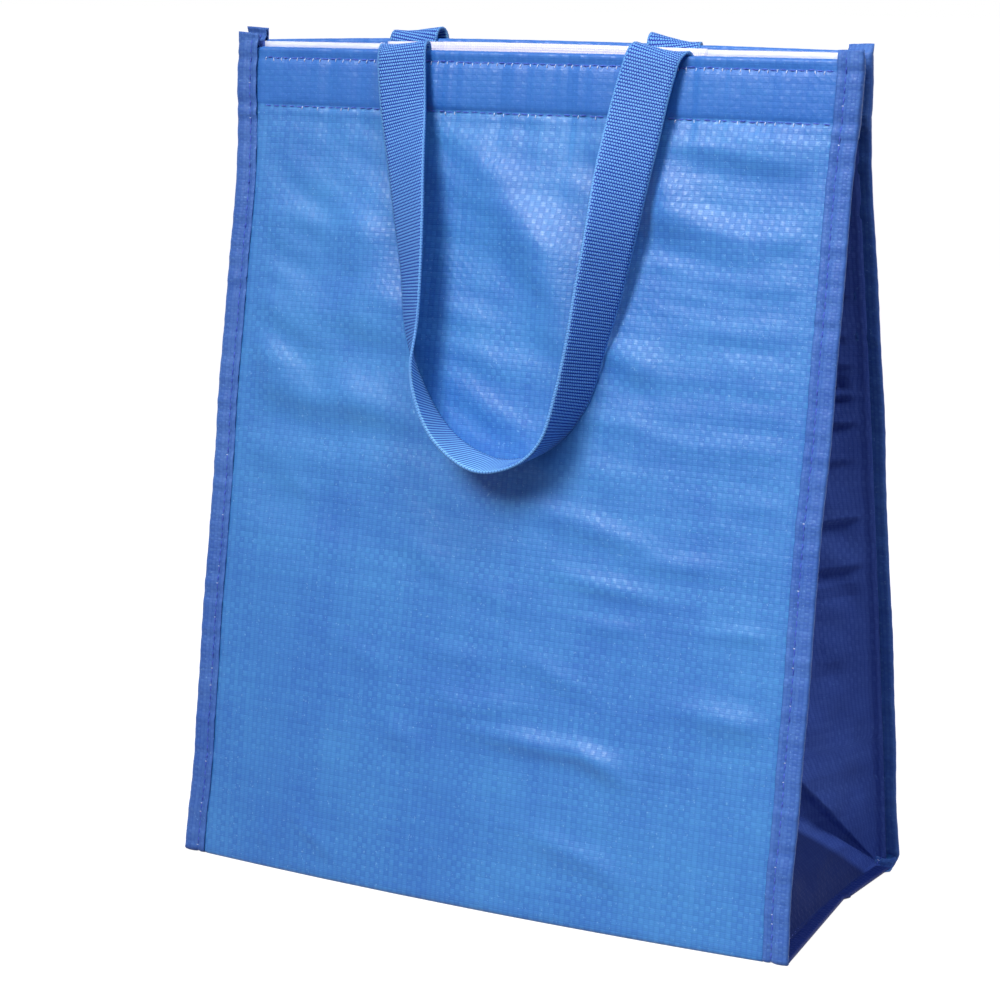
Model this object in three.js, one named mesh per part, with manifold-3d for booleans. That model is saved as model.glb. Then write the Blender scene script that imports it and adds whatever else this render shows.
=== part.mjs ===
// An insulated carrier bag that stands on a flat base and narrows to a slot at the top.
// One strip of woven fabric runs down the front, under the base and up the back. A folded gusset
// closes each side, bound to the strip by tapes. Foam lines the walls, a fastening strip lies on each
// inner face of the hem, and two webbing handles are sewn into the hem and hang down outside.
// Millimetres, +Z up, front towards -Y, origin on the floor under the middle of the base.
import * as THREE from "three";
import { mergeVertices } from "three/addons/utils/BufferGeometryUtils.js";
import Module from "manifold-3d";

// Sizes of the bag
const BAG_WIDTH = 380; // across the bound side edges
const BAG_DEPTH = 168; // of the base, from front fold to back fold
const BAG_HEIGHT = 466; // from the floor to the top of the hem
const HEM = 38; // depth of the fabric turned in at the top
const FLANGE = 14; // seam allowance that stands out at each side
const WALL_BULGE = 3; // how far a wall stands out from straight at its middle
const BASE_FOLD = 3; // length of the rounding where a wall turns into the base
const MOUTH_GAP = 5; // between the two halves of a gusset at the top
const GUSSET_PEAK = 66; // height at which the creases from the base corners meet
const CREASE_LAP = 3; // width of a gusset's flap where its crease starts at a base corner

// Sizes of the materials
const FABRIC = 0.5; // laminated woven fabric
const FOAM = 1.5; // insulating liner
const TAPE = 0.5; // binding tape
const TAB = 6; // length of a binding's end above the hem
const GAP = 0.3; // between pieces that lie on each other

// Sizes of the handles and the fastening strips
const WEBBING = 1.5;
const WEBBING_WIDTH = 30;
const HANDLE_SPACING = 157; // between the middles of a handle's two legs
const HANDLE_SEWN = 33; // length of each end inside the hem
const HANDLE_DROP = 224; // from the top of the hem to the lowest point of the loop
const LEG_LEAN = 16; // how far a leg draws inwards on its way down
const LEG_REACH = 88; // how far down the leg draws inwards
const TURN_REACH = 52; // how far the bottom of the loop runs level to each side
const LOOP_TWIST = THREE.MathUtils.degToRad(100); // turn of the webbing at the bottom of the loop
const LOOP_EASE = 2; // room between the twisted webbing and the wall
const STRIP = 1; // thickness of a fastening strip
const STRIP_HEIGHT = 30;
const STRIP_INSET = 2; // from the top of the hem to a fastening strip
const STRIP_END = 2; // least length of a fastening strip past a handle's end
const FOLD_ROOM = 1.5; // between a fastening strip and a gusset's inner fold

// Steps along the curves
const WALL_STEPS = 10;
const FOLD_STEPS = 3;
const PEAK_STEPS = 4;
const ARC_STEPS = 6;
const LOOP_STEPS = 14;
const WEB_COLUMNS = 4; // front edge, two folds and back edge of a gusset's web

// Depths of the layers under the outer face of a wall
const linerFace = FABRIC + GAP;
const turnInFace = linerFace + FOAM + GAP;
const innerFace = turnInFace + FABRIC + GAP;
const gussetFace = innerFace + FOAM + GAP;
const gussetBack = gussetFace + FABRIC;

// Depths of the layers in a bound side edge
const edgeStrip = TAPE + GAP;
const edgeGusset = edgeStrip + FABRIC + GAP;
const edgeTape = edgeGusset + FABRIC + GAP;

const hemBottom = BAG_HEIGHT - HEM;
const foldHalf = MOUTH_GAP / 2;
const mouthHalf = gussetBack + foldHalf;
const seam = BAG_WIDTH / 2 - FLANGE;
const seamOuter = seam + FABRIC;
const edgeEnd = BAG_WIDTH / 2 - TAPE;

const wasm = await Module();
wasm.setup();

function solidOf(geometry) {
  const bare = geometry.clone();
  bare.deleteAttribute("normal");
  bare.deleteAttribute("uv");
  const merged = mergeVertices(bare, 1e-3);
  const triVerts = new Uint32Array(merged.index.array);
  const vertProperties = merged.attributes.position.array;
  return new wasm.Manifold(new wasm.Mesh({ numProp: 3, vertProperties, triVerts }));
}

function join(...geometries) {
  const joined = geometries.map(solidOf).reduce((a, b) => a.add(b));
  const { vertProperties, triVerts } = joined.getMesh();
  return new THREE.BufferGeometry()
    .setAttribute("position", new THREE.BufferAttribute(vertProperties, 3))
    .setIndex(new THREE.BufferAttribute(triVerts, 1));
}

// Half of the bag's depth at height z: upright in the hem, then leaning out to the base.
function halfDepth(z) {
  const s = THREE.MathUtils.clamp(1 - z / hemBottom, 0, 1);
  return mouthHalf + (BAG_DEPTH / 2 - mouthHalf) * s + 4 * WALL_BULGE * s * (1 - s);
}

// Where a wall turns into the base, as (y, z), at a depth under the outer face.
function baseFold(depth) {
  const round = Math.max(BASE_FOLD - depth, GAP);
  const corner = new THREE.Vector2(halfDepth(depth) - depth, depth);
  const start = new THREE.Vector2(halfDepth(depth + round) - depth, depth + round);
  const end = new THREE.Vector2(corner.x - round, depth);
  return new THREE.QuadraticBezierCurve(start, corner, end).getPoints(FOLD_STEPS);
}

// Outline of the back wall as (y, z), at a depth under its outer face, from the top to the base.
function wallOutline(depth, top) {
  const fold = baseFold(depth);
  const points = [new THREE.Vector2(mouthHalf - depth, top)];
  for (let i = 0; i < WALL_STEPS; i++) {
    const z = THREE.MathUtils.lerp(hemBottom, fold[0].y, i / WALL_STEPS);
    points.push(new THREE.Vector2(halfDepth(z) - depth, z));
  }
  return points.concat(fold);
}

function mirrorY(points) {
  return points.map((p) => new THREE.Vector2(-p.x, p.y));
}

// An outline drawn as (y, z), extruded along X from x0 to x1.
function alongX(points, x0, x1) {
  const axes = new THREE.Matrix4().makeBasis(
    new THREE.Vector3(0, 1, 0),
    new THREE.Vector3(0, 0, 1),
    new THREE.Vector3(1, 0, 0),
  );
  const shape = new THREE.Shape(points);
  return new THREE.ExtrudeGeometry(shape, { depth: x1 - x0, bevelEnabled: false })
    .applyMatrix4(axes)
    .translate(x0, 0, 0);
}

// A layer of the strip from depth d0 to depth d1: down one wall, under the base and up the other.
function stripLayer(d0, d1, x0, x1, top = BAG_HEIGHT) {
  const line = (d) => wallOutline(d, top).concat(mirrorY(wallOutline(d, top)).reverse());
  return alongX(line(d0).concat(line(d1).reverse()), x0, x1);
}

// The same layer on one wall only, to the middle of the base. Side is 1 at the back, -1 at the front.
function wallLayer(d0, d1, x0, x1, top, side) {
  const line = (d) => wallOutline(d, top).concat([new THREE.Vector2(GAP / 2, d)]);
  const outline = line(d0).concat(line(d1).reverse());
  return alongX(side > 0 ? outline : mirrorY(outline), x0, x1);
}

// Faces of a grid of points, listed row by row. Each row's direction crossed with the columns' is outward.
function gridFaces(rows, columns) {
  const faces = [];
  for (let r = 0; r + 1 < rows; r++) {
    for (let c = 0; c + 1 < columns; c++) {
      const a = r * columns + c;
      faces.push([a, a + 1, a + columns + 1], [a, a + columns + 1, a + columns]);
    }
  }
  return faces;
}

// A closed sheet: the same faces on a front and a back layer of points, joined along their open edges.
function sheet(front, back, faces) {
  const count = front.length;
  const edges = faces.flatMap(([a, b, c]) => [[a, b], [b, c], [c, a]]);
  const known = new Set(edges.map(String));
  const open = edges.filter(([a, b]) => !known.has(String([b, a])));
  const index = [
    ...faces,
    ...faces.map(([a, b, c]) => [a + count, c + count, b + count]),
    ...open.flatMap(([a, b]) => [[b, a, a + count], [b, a + count, b + count]]),
  ];
  return new THREE.BufferGeometry().setFromPoints(front.concat(back)).setIndex(index.flat());
}

function mirrorX(geometry) {
  return geometry.clone().rotateZ(Math.PI);
}

// The strip: its walls and base, the hem turned in at both ends, and a stepped-in edge at each side.
function outerPanel() {
  const hemLeaf = (side) => {
    const outline = [
      [0, BAG_HEIGHT],
      [turnInFace + FABRIC, BAG_HEIGHT],
      [turnInFace + FABRIC, hemBottom],
      [turnInFace, hemBottom],
      [turnInFace, BAG_HEIGHT - FABRIC],
      [0, BAG_HEIGHT - FABRIC],
    ].map(([depth, z]) => new THREE.Vector2(side * (mouthHalf - depth), z));
    return alongX(outline, GAP - seam, seam - GAP);
  };
  const edge = join(
    stripLayer(0, edgeStrip + FABRIC, seam, seamOuter),
    stripLayer(edgeStrip, edgeStrip + FABRIC, seam, edgeEnd - GAP),
  );
  const middle = stripLayer(0, FABRIC, -seamOuter, seamOuter);
  return join(middle, hemLeaf(1), hemLeaf(-1), edge, mirrorX(edge));
}

function linerPanel() {
  return stripLayer(linerFace, linerFace + FOAM, GAP - seam, seam - GAP, BAG_HEIGHT - FABRIC - GAP);
}

// How far a gusset is folded in at the top: the width of its cloth sets it, and the handles' ends stop it.
// The fastening strips run from one gusset's inner fold to the other's.
const clothReach = BAG_DEPTH / 2 - mouthHalf;
const coverHalf = (HANDLE_SPACING + WEBBING_WIDTH) / 2 + GAP + STRIP + STRIP_END;
const stripRoom = seam - GAP - FOAM - FOLD_ROOM;
const reachShare = Math.min(1, (stripRoom - coverHalf) / clothReach);
const stripHalf = stripRoom - reachShare * clothReach;

// How far a gusset is folded in at height z.
function foldReach(z) {
  const across = halfDepth(z) - mouthHalf;
  return reachShare * Math.sqrt(Math.max(clothReach ** 2 - across ** 2, 0));
}

// Section of the right gusset's outer face at height z: front edge, two folds, back edge.
function gussetSection(z, bottom) {
  const rise = Math.min((z - bottom) / (GUSSET_PEAK - bottom), 1);
  const reach = z < GUSSET_PEAK ? rise * foldReach(GUSSET_PEAK) : foldReach(z);
  const edgeY = halfDepth(z) - gussetBack;
  const creaseY = THREE.MathUtils.lerp(halfDepth(bottom) - gussetBack - CREASE_LAP, foldHalf, rise);
  return [
    new THREE.Vector2(seamOuter, -edgeY),
    new THREE.Vector2(seamOuter - reach, -creaseY),
    new THREE.Vector2(seamOuter - reach, creaseY),
    new THREE.Vector2(seamOuter, edgeY),
  ];
}

// A line of points moved sideways, to the left of its direction, with its corners kept.
function offsetLine(points, distance) {
  const normals = points.slice(1).map((p, i) => {
    const along = p.clone().sub(points[i]).normalize();
    return new THREE.Vector2(-along.y, along.x);
  });
  return points.map((p, i) => {
    const before = normals[Math.max(i - 1, 0)];
    const after = normals[Math.min(i, normals.length - 1)];
    const corner = before.clone().add(after);
    return p.clone().addScaledVector(corner, (2 * distance) / corner.lengthSq());
  });
}

// A line whose first and last points are slid along it until they lie at x or nearer the middle.
function trimEnds(points, x) {
  const slide = (end, next) => {
    const excess = Math.max(end.x - x, 0);
    return end.clone().lerp(next, excess > 0 ? excess / (end.x - next.x) : 0);
  };
  const last = points.length - 1;
  return [
    slide(points[0], points[1]),
    ...points.slice(1, last),
    slide(points[last], points[last - 1]),
  ];
}

// Heights of the rows of a gusset's web, from its bottom edge to its top edge.
function webHeights(bottom, top) {
  const heights = [];
  for (let i = 0; i < PEAK_STEPS; i++) {
    heights.push(THREE.MathUtils.lerp(bottom, GUSSET_PEAK, i / PEAK_STEPS));
  }
  for (let i = 0; i < WALL_STEPS; i++) {
    heights.push(THREE.MathUtils.lerp(GUSSET_PEAK, hemBottom, i / WALL_STEPS));
  }
  return heights.concat([hemBottom, top]);
}

// Points of the right gusset's web at a depth under its outer face, row by row, ending at edgeX.
function webPoints(heights, depth, edgeX) {
  return heights.flatMap((z) => {
    const section = offsetLine(gussetSection(z, heights[0]), depth);
    return trimEnds(section, edgeX).map((p) => new THREE.Vector3(p.x, p.y, z));
  });
}

// Path of a gusset's seam as (y, z), at a depth under the walls: down the front, along the base and
// up the back. Each point has the point of the web that it is sewn to.
function seamPath(heights, depth) {
  const rows = heights.map((_, i) => i).slice(1);
  const wall = rows.map((i) => ({
    row: i,
    y: halfDepth(heights[i]) - depth,
    z: heights[i],
  }));
  const corner = baseFold(depth).map(({ x, y }) => ({ row: 0, y: x, z: y }));
  const back = [...wall.reverse(), ...corner].map((p) => ({ ...p, web: (p.row + 1) * WEB_COLUMNS - 1 }));
  const front = back.map((p) => ({ ...p, y: -p.y, web: p.row * WEB_COLUMNS }));
  const [, ...creases] = gussetSection(heights[0], heights[0]).slice(0, -1);
  const base = creases.map((p, i) => ({ y: p.y, z: depth, web: i + 1 }));
  return [...front, ...base, ...back.reverse()];
}

// The right gusset: its folded web, and an edge on three sides that turns out along the seam.
function gussetRight() {
  const heights = webHeights(gussetFace, BAG_HEIGHT);
  const layer = (depth, seamX, seamDepth) => {
    const path = seamPath(heights, seamDepth);
    return [
      ...webPoints(heights, depth, seamX),
      ...path.map(({ y, z }) => new THREE.Vector3(seamX, y, z)),
      ...path.map(({ y, z }) => new THREE.Vector3(edgeEnd - GAP, y, z)),
    ];
  };
  const path = seamPath(heights, edgeGusset);
  const turned = heights.length * WEB_COLUMNS;
  const faces = gridFaces(heights.length, WEB_COLUMNS);
  for (let i = 0; i + 1 < path.length; i++) {
    const [a, b] = [turned + i, turned + path.length + i];
    faces.push([path[i].web, a, a + 1], [a + 1, a, b], [a + 1, b, b + 1]);
    if (path[i].web !== path[i + 1].web) faces.push([path[i + 1].web, path[i].web, a + 1]);
  }
  const outer = layer(0, seamOuter, edgeGusset + FABRIC);
  return sheet(outer, layer(FABRIC, seam, edgeGusset), faces);
}

function linerGussetRight() {
  const heights = webHeights(gussetFace, BAG_HEIGHT - GAP);
  const layer = (depth) => webPoints(heights, depth, seam - GAP);
  const under = FABRIC + GAP;
  return sheet(layer(under), layer(under + FOAM), gridFaces(heights.length, WEB_COLUMNS));
}

// A tape folded round a side edge, from its end above the hem to the middle of the base.
function binding(sideX, sideY) {
  const start = seamOuter + GAP;
  const end = BAG_WIDTH / 2;
  const top = BAG_HEIGHT + TAB;
  const leaf = (d0, d1, x0, x1) =>
    wallLayer(d0, d1, sideX > 0 ? x0 : -x1, sideX > 0 ? x1 : -x0, top, sideY);
  return join(
    leaf(0, TAPE, start, end),
    leaf(edgeTape, edgeTape + TAPE, start, end),
    leaf(0, edgeTape + TAPE, edgeEnd, end),
  );
}

// Half of the front handle's middle line, from its sewn end to the bottom of the loop, with its twist.
function handleHalf() {
  const legX = -HANDLE_SPACING / 2;
  const inside = -(mouthHalf - innerFace - WEBBING / 2);
  const outside = -(mouthHalf + GAP + WEBBING / 2);
  const steps = [{ point: new THREE.Vector3(legX, inside, BAG_HEIGHT - HANDLE_SEWN), twist: 0 }];
  for (let i = 0; i <= ARC_STEPS; i++) {
    const turn = (Math.PI * i) / ARC_STEPS;
    const y = (inside + outside) / 2 + ((inside - outside) / 2) * Math.cos(turn);
    const z = BAG_HEIGHT + ((inside - outside) / 2) * Math.sin(turn);
    steps.push({ point: new THREE.Vector3(legX, y, z), twist: 0 });
  }
  const bottom = BAG_HEIGHT - HANDLE_DROP;
  const loop = new THREE.CubicBezierCurve(
    new THREE.Vector2(legX, hemBottom),
    new THREE.Vector2(legX + LEG_LEAN, hemBottom - LEG_REACH),
    new THREE.Vector2(-TURN_REACH, bottom),
    new THREE.Vector2(0, bottom),
  );
  for (let i = 0; i <= LOOP_STEPS; i++) {
    const { x, y: z } = loop.getPoint(i / LOOP_STEPS);
    const twist = LOOP_TWIST * Math.sin((Math.PI * i) / LOOP_STEPS / 2);
    const off = GAP + WEBBING / 2 + (WEBBING_WIDTH / 2 + LOOP_EASE) * Math.sin(twist);
    steps.push({ point: new THREE.Vector3(x, -halfDepth(z) - off, z), twist });
  }
  return steps;
}

// The front handle: flat at the hem, its inner edges turning to the front on the way down.
function handleFront() {
  const left = handleHalf();
  const right = left
    .slice(0, -1)
    .reverse()
    .map(({ point, twist }) => ({ point: new THREE.Vector3(-point.x, point.y, point.z), twist }));
  const steps = left.concat(right);
  const side = new THREE.Vector3(1, 0, 0);
  const outward = new THREE.Vector3(0, -1, 0);
  const front = [];
  const back = [];
  steps.forEach(({ point, twist }, i) => {
    const before = steps[Math.max(i - 1, 0)].point;
    const after = steps[Math.min(i + 1, steps.length - 1)].point;
    const along = after.clone().sub(before).normalize();
    const inwards = side.clone().multiplyScalar(-Math.sign(point.x));
    const level = twist > 0 ? outward.clone().cross(along) : inwards;
    const flat = level.addScaledVector(along, -level.dot(along)).normalize();
    const across = flat.clone().applyAxisAngle(along, twist);
    const face = along.clone().cross(across);
    const half = WEBBING_WIDTH / 2;
    const edges = [-half, half].map((w) => point.clone().addScaledVector(across, w));
    front.push(...edges.map((p) => p.clone().addScaledVector(face, WEBBING / 2)));
    back.push(...edges.map((p) => p.clone().addScaledVector(face, -WEBBING / 2)));
  });
  return sheet(back, front, gridFaces(steps.length, 2));
}

// A fastening strip on the inner face of the front hem, raised where it covers the handle's ends.
function fasteningStripFront() {
  const legs = [-HANDLE_SPACING / 2, HANDLE_SPACING / 2];
  const line = (lift, spread) => {
    const raised = lift + WEBBING + GAP;
    const half = WEBBING_WIDTH / 2 + GAP + spread;
    const over = legs.flatMap((x) => [
      [x - half, lift],
      [x - half, raised],
      [x + half, raised],
      [x + half, lift],
    ]);
    return [[-stripHalf, lift], ...over, [stripHalf, lift]];
  };
  const outline = line(innerFace, 0).concat(line(innerFace + STRIP, STRIP).reverse());
  const shape = new THREE.Shape(outline.map(([x, depth]) => new THREE.Vector2(x, depth - mouthHalf)));
  return new THREE.ExtrudeGeometry(shape, { depth: STRIP_HEIGHT, bevelEnabled: false }).translate(
    0,
    0,
    BAG_HEIGHT - STRIP_INSET - STRIP_HEIGHT,
  );
}

const bag = new THREE.Group();

function add(name, geometry, color, roughness) {
  const material = new THREE.MeshStandardMaterial({ color, roughness, metalness: 0 });
  const mesh = new THREE.Mesh(geometry, material);
  mesh.name = name;
  bag.add(mesh);
}

const FABRIC_BLUE = 0x4a86d8;
const GUSSET_BLUE = 0x3c6cc0;
const TAPE_BLUE = 0x4664c8;
const WEBBING_BLUE = 0x3c70d0;
const LINER_WHITE = 0xe6e8f2;
const STRIP_WHITE = 0xf0eef8;
const SATIN = 0.45;
const MATT = 0.8;

add("outer_panel", outerPanel(), FABRIC_BLUE, SATIN);
add("liner_panel", linerPanel(), LINER_WHITE, SATIN);

const gusset = gussetRight();
const linerGusset = linerGussetRight();
add("gusset_right", gusset, GUSSET_BLUE, SATIN);
add("gusset_left", mirrorX(gusset), GUSSET_BLUE, SATIN);
add("liner_gusset_right", linerGusset, LINER_WHITE, SATIN);
add("liner_gusset_left", mirrorX(linerGusset), LINER_WHITE, SATIN);

for (const [across, sideX] of [["left", -1], ["right", 1]]) {
  for (const [wall, sideY] of [["front", -1], ["back", 1]]) {
    add(`binding_${wall}_${across}`, binding(sideX, sideY), TAPE_BLUE, MATT);
  }
}

const handle = handleFront();
add("handle_front", handle, WEBBING_BLUE, MATT);
add("handle_back", mirrorX(handle), WEBBING_BLUE, MATT);

const strip = fasteningStripFront();
add("fastening_strip_front", strip, STRIP_WHITE, MATT);
add("fastening_strip_back", mirrorX(strip), STRIP_WHITE, MATT);

export default bag;
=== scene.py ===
"""An insulated carrier bag of laminated woven cloth.

One strip makes the front, the base and the back. It has a folded gusset on each side, bound edges,
a foam lining and two webbing handles. Lengths are in millimetres until a mesh is made, in the frame
of the CAD part: +Z up, front towards -Y.
"""
import math
from collections import namedtuple
from dataclasses import dataclass

import bpy
import numpy as np
from mathutils import Matrix, Vector


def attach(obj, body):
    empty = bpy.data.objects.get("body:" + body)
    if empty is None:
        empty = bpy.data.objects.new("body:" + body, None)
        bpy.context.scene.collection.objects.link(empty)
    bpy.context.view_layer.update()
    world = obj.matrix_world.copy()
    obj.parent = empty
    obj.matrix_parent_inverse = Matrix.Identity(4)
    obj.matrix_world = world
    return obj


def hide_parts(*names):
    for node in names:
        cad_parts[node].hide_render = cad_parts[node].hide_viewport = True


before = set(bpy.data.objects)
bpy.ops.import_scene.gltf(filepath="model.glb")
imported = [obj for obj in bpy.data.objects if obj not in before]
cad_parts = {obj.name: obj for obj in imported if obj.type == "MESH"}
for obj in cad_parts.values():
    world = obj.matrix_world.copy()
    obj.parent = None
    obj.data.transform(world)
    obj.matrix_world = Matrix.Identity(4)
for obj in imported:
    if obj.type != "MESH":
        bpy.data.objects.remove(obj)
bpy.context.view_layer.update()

MM = 0.001
BODY = "root"
CLOTH_UV = "Cloth"

# Sizes of the bag
HALF_WIDTH = 190  # over the bindings
SEAM_X = 176
HALF_BASE = 83.5
HEM = 40
ROLL = 1.7  # radius of the rim
HEM_THICK = 2 * ROLL
TURN_IN = 36  # reach of the turned-in end below the rim
PEAK = 66  # height of the triangle at a gusset's foot
CLOTH_REACH = 75.8  # a gusset's cloth from seam to fold
ROW_UPPER = 6  # the hem's two rows of stitches below the rim
ROW_LOWER = 33
LINING_DEPTH = 1.4

# Sizes of the materials
FABRIC = 0.5
FOAM = 1.4
TAPE = 0.45
WEBBING = 1.5
WEBBING_WIDTH = 30
RIB_PITCH = 1.76
DOT_PITCH = 1.4
RIB = 0.22

# Upper ends of the bindings: height above the rim, slant
TABS = {
    "front_left": (8.3, 1),
    "front_right": (5.3, 0.6),
    "back_left": (7.5, 0.8),
    "back_right": (3.8, 0.5),
}

# Swellings and dents of the walls: x, z, half length, half width, tilt in degrees, rise
FRONT_FORMS = [
    (-96, 362, 14, 15, 0, 4.6),
    (-90, 322, 22, 13, 0, 4.4),
    (-97, 270, 16, 8, -10, 2.8),
    (-152, 318, 24, 8, -25, 2.4),
    (-150, 282, 22, 9, -30, 2.8),
    (-150, 368, 24, 8, -10, 1.5),
    (-6, 380, 30, 12, -48, 4),
    (22, 350, 26, 13, -62, 4.2),
    (30, 318, 18, 9, -62, 2.2),
    (-25, 396, 18, 7, 5, 0.6),
    (-8, 296, 26, 7, -18, 1.6),
    (-6, 270, 26, 6, -22, 1.6),
    (-30, 318, 14, 6, -25, 1),
    (-20, 424, 34, 6, 0, -0.7),
    (42, 404, 20, 7, -50, -1.6),
    (88, 386, 9, 14, 20, 3.2),
    (118, 372, 26, 7, -22, 1.9),
    (160, 373, 22, 6, 0, 1.5),
    (76, 304, 13, 7, -14, 2.6),
    (140, 412, 34, 8, 0, 1.2),
    (150, 345, 26, 5, 2, 0.8),
    (140, 323, 40, 5, 0, 0.8),
    (150, 298, 26, 5, -6, 0.9),
    (160, 280, 24, 4, 2, 0.7),
    (140, 262, 40, 4.5, 0, 0.8),
    (70, 270, 18, 5, -4, 1.2),
    (64, 243, 22, 5, -6, 0.8),
    (165, 233, 14, 4, 0, 0.5),
    (60, 215, 26, 4.5, -14, 1.3),
    (112, 199, 20, 3, 0, 0.7),
    (165, 207, 14, 3.5, -6, 0.6),
    (70, 184, 20, 3.5, -6, 1.1),
    (-40, 189, 12, 5, -30, 0.7),
    (-5, 172, 16, 4, -10, 0.5),
    (78, 163, 11, 2.6, 0, 0.7),
    (158, 168, 20, 2.6, 2, 0.8),
    (44, 134, 18, 4, -20, 0.6),
    (-10, 137, 22, 3, 0, 0.4),
    (-80, 131, 14, 4, -25, 0.5),
    (152, 122, 24, 5, -4, 1.4),
    (38, 95, 30, 4, -3, 1.7),
    (76, 90, 12, 4, -24, 1.5),
    (10, 112, 14, 5, 0, 0.9),
    (-14, 110, 10, 4, -20, 0.7),
    (-50, 89, 10, 5, -30, 0.7),
    (62, 40, 20, 4.5, -14, 0.9),
    (84, 32, 10, 4, -35, 0.5),
    (-135, 17, 3.5, 5, 20, 0.6),
    (-100, 22, 14, 3.5, -32, 0.7),
    (-128, 217, 10, 4, -35, 0.6),
    (-110, 252, 40, 7, -6, -1.6),
    (-130, 212, 30, 12, -10, -1.2),
    (125, 402, 18, 5, -10, -1.2),
    (90, 364, 16, 5, -14, -1.4),
    (13, 444, 17, 1.8, 90, -0.5),
    (18, 440, 20, 1.8, 88, -0.5),
    (25, 432, 26, 2.2, 87, -0.8),
]
BACK_FORMS = [
    (60, 340, 30, 18, 10, 2),
    (-70, 330, 26, 16, -15, 1.8),
    (0, 250, 60, 10, 4, 1.2),
    (-90, 160, 40, 12, -10, 1.2),
    (100, 130, 36, 10, 12, 1),
    (20, 70, 40, 9, -6, 0.9),
]


def smooth(a, b, x):
    """0 up to a and 1 from b on, with a soft step between them."""
    t = np.clip((x - a) / (b - a), 0, 1)
    return t * t * (3 - 2 * t)


def mix(a, b, t):
    return a + (b - a) * t


def bell(x, half):
    """A round bump of unit height about 0."""
    return np.exp(-((x / half) ** 2))


def arc(a, b, x):
    """A half sine wave of unit height from a to b, and 0 elsewhere."""
    return np.sin(np.pi * np.clip((x - a) / (b - a), 0, 1))


def ripples(seed, count, short, long, heading=0, spread=math.pi):
    """A smooth random field of (x, z) of about unit height, from waves of lengths short to long."""
    rng = np.random.default_rng(seed)
    lengths = np.exp(rng.uniform(math.log(short), math.log(long), count))
    angles = heading + rng.uniform(-spread, spread, count)
    phases = rng.uniform(0, 2 * math.pi, count)

    def field(x, z):
        total = np.zeros(np.broadcast(x, z).shape)
        for length, angle, phase in zip(lengths, angles, phases):
            along = x * math.cos(angle) + z * math.sin(angle)
            total = total + np.sin(2 * math.pi * along / length + phase)
        return total * math.sqrt(2 / count)

    return field


@dataclass
class Wall:
    """The outer face of the front or the back wall."""

    side: int  # -1 for the front and 1 for the back
    top: float
    top_y: float
    hem_y: float
    bulge: float
    fold: float  # radius where the wall turns into the base
    arch: float  # rise of the rim's middle
    bow: float  # swelling of the wall as a whole
    pinch: float  # how far the left end of the top leans inwards
    forms: list
    gains: tuple  # of the forms, low down and high up

    @property
    def hem_z(self):
        return self.top - HEM

    def depth(self, z):
        """Distance from the middle plane to the smooth outer face at height z."""
        s = np.clip(1 - z / self.hem_z, 0, 1)
        lean = s + self.bulge * s * (1 - s)
        upright = np.clip((z - self.hem_z) / HEM, 0, 1.5)
        return self.hem_y + (HALF_BASE - self.hem_y) * lean + (self.top_y - self.hem_y) * upright

    def slope(self, z):
        return (self.depth(z + 1) - self.depth(z - 1)) / 2

    def outward(self, z):
        """Unit normal of the smooth outer face as (y, z)."""
        s = self.slope(z)
        length = np.sqrt(1 + s * s)
        return self.side / length, -s / length


FRONT = Wall(
    side=-1, top=463.5, top_y=5.5, hem_y=10, bulge=0.14, fold=2, arch=0,
    bow=7, pinch=0, forms=FRONT_FORMS, gains=(1.6, 1.1),
)
BACK = Wall(
    side=1, top=467, top_y=10.8, hem_y=11.7, bulge=0.19, fold=9, arch=2.4,
    bow=5.5, pinch=6, forms=BACK_FORMS, gains=(1, 1),
)
WALLS = {"front": FRONT, "back": BACK}
SIDES = {"left": -1, "right": 1}

# Relief of the walls
RIM_SKEW = 0.35
SLANT_CRUMPLE = ripples(3, 26, 16, 60, heading=1.05, spread=0.5)
LEVEL_CRUMPLE = ripples(5, 26, 8, 24, heading=math.pi / 2, spread=0.22)
PUCKER = ripples(11, 24, 5, 16, heading=0, spread=0.05)
LONG_PUCKER = ripples(12, 16, 14, 42, heading=0, spread=0.15)
SLANT_RISE = 0.3
LEVEL_RISE = 0.14
PUCKER_RISE = 0.3
LONG_PUCKER_RISE = 0.24
GROOVE = 1  # depth and half width of the dip along a row of stitches
GROOVE_HALF = 1.6
HEM_PUFF = 0.7
FLARE_LEFT = 0.2  # swelling just below the hem
FLARE_RIGHT = 1.6


def rim_lift(wall, x, z):
    """How far the middle of a wall's rim arches up."""
    middle = np.clip(1 - (x / HALF_WIDTH) ** 2, 0, 1) * (1 - RIM_SKEW * x / HALF_WIDTH)
    return wall.arch * middle * smooth(wall.hem_z - 60, wall.top - 5, z)


def swellings(table, x, z):
    total = np.zeros(np.broadcast(x, z).shape)
    for x0, z0, half_length, half_width, tilt, rise in table:
        turn = math.radians(tilt)
        along = (x - x0) * math.cos(turn) + (z - z0) * math.sin(turn)
        across = (z - z0) * math.cos(turn) - (x - x0) * math.sin(turn)
        far = (along / half_length) ** 2 + (across / half_width) ** 2
        total = total + rise * np.exp(-0.5 * far)
    return total


def pinched(wall, x, z):
    """How far a wall's top leans inwards at its left end."""
    return wall.pinch * smooth(-60, -185, x) * smooth(340, 450, z)


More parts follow.
